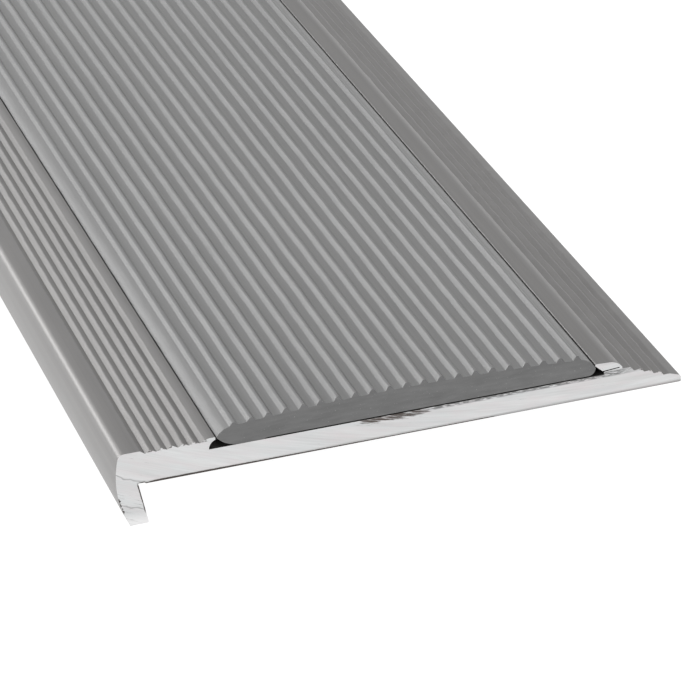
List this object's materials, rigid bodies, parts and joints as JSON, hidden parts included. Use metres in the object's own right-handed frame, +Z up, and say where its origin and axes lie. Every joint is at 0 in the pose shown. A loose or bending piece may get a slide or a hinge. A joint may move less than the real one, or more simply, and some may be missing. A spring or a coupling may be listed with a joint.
{
  "type": "threshold strip",
  "caption": "Aluminium floor-edge and threshold strip with a down-turned front lip, reeded nose, saw-tooth rear ramp and a ribbed grey insert that slides out of its channel.",
  "frame": {"origin": "the middle of the flat underside: half way along the strip and half way across its full width", "axes": "+X from the rounded nose to the thin rear edge, +Y along the strip away from the end shown nearest, +Z up out of the floor"},
  "size_m": [0.075, 0.9, 0.0242],
  "materials": {
    "mill_aluminium": "satin extruded skin, bright saw-cut ends",
    "grey_pvc": "matte moulded, slight sheen on the shoulders",
    "zinc_steel": "bright zinc plated"
  },
  "bodies": {
    "root": {"base_extrusion": "mill_aluminium", "fixing_screw_1": "zinc_steel", "fixing_screw_2": "zinc_steel", "fixing_screw_3": "zinc_steel", "fixing_screw_4": "zinc_steel", "fixing_screw_5": "zinc_steel", "fixing_screw_6": "zinc_steel", "fixing_screw_7": "zinc_steel", "fixing_screw_8": "zinc_steel"},
    "insert": {"tread_insert": "grey_pvc"}
  },
  "joints": [
    {"name": "insert_slide", "type": "slide", "parent": "root", "child": "insert", "axis": [0, 1, 0], "range_m": [-0.9, 0.9]}
  ]
}
